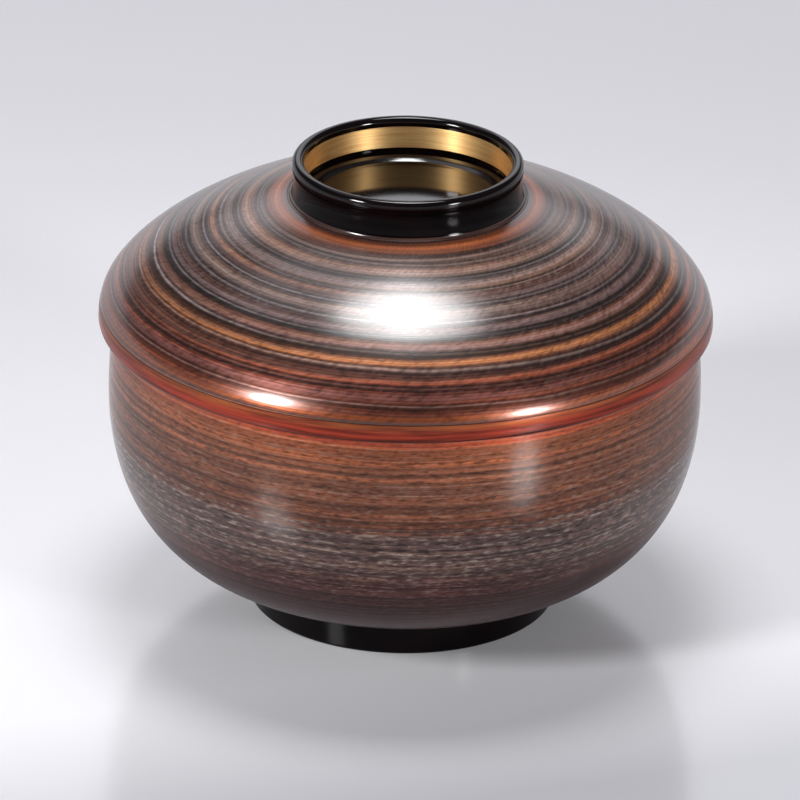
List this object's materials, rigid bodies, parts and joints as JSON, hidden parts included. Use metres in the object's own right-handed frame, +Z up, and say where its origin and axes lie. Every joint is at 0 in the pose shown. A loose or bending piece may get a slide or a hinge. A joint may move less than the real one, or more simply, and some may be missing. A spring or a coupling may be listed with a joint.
{
  "type": "lidded lacquer bowl",
  "caption": "Round lacquer bowl on a foot ring, with an overlapping domed lid that lifts off by its ring knob; striped brown and orange lacquer, black knob and foot, gold inside the knob.",
  "frame": {"origin": "centre of the foot ring's underside, on the surface that the bowl stands on", "axes": "+Z up along the axis that bowl and lid are turned about; X and Y are alike"},
  "size_m": [0.13, 0.13, 0.1],
  "materials": {
    "striped_lacquer": "gloss lacquer with fine turned stripes over wood",
    "ringed_lacquer": "gloss lacquer with fine turned rings over wood",
    "rim_band_lacquer": "gloss red-orange lacquer over wood",
    "black_lacquer": "polished black lacquer over wood",
    "lining_lacquer": "polished black lacquer coat",
    "gold_leaf": "satin gold"
  },
  "bodies": {
    "bowl": {"bowl_body": "striped_lacquer", "bowl_lining": "lining_lacquer", "bowl_foot_ring": "black_lacquer"},
    "lid": {"lid_shell": "ringed_lacquer", "lid_lining": "lining_lacquer", "lid_rim_band": "rim_band_lacquer", "lid_knob_ring": "black_lacquer", "knob_gold_band": "gold_leaf"}
  },
  "joints": [
    {"name": "lid_lift", "type": "slide", "parent": "bowl", "child": "lid", "axis": [0, 0, 1], "range_m": [0, 0.12]}
  ]
}
